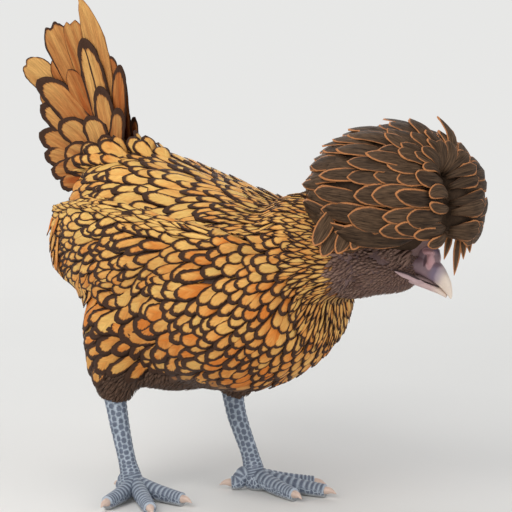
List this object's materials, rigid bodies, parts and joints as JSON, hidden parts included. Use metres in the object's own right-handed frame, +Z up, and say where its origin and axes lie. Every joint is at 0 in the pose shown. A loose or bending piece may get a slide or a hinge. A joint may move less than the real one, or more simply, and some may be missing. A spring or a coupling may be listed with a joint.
{
  "type": "polish crested hen",
  "caption": "Life-size standing hen with a large round feather crest, a beard, a raised fan tail and slate legs, as a still model.",
  "frame": {"origin": "on the floor, under the middle of the bird's box", "axes": "+X the way the body faces, +Y to the bird's left, +Z up"},
  "size_m": [0.3824, 0.1762, 0.3423],
  "materials": {
    "laced_plumage": "matte",
    "crest_plumage": "matte",
    "face_plumage": "matte",
    "leg_scales": "satin",
    "horn": "satin",
    "eye": "gloss"
  },
  "bodies": {
    "root": {"beak_lower": "horn", "beak_upper": "horn", "claw_left_hind": "horn", "claw_left_inner": "horn", "claw_left_middle": "horn", "claw_left_outer": "horn", "claw_right_hind": "horn", "claw_right_inner": "horn", "claw_right_middle": "horn", "claw_right_outer": "horn", "crest": "crest_plumage", "eye_left": "eye", "eye_right": "eye", "foot_left": "leg_scales", "foot_right": "leg_scales", "head": "face_plumage", "neck": "laced_plumage", "shank_left": "leg_scales", "shank_right": "leg_scales", "tail": "laced_plumage", "thigh_left": "laced_plumage", "thigh_right": "laced_plumage", "torso": "laced_plumage", "wing_left": "laced_plumage", "wing_right": "laced_plumage"}
  },
  "joints": []
}
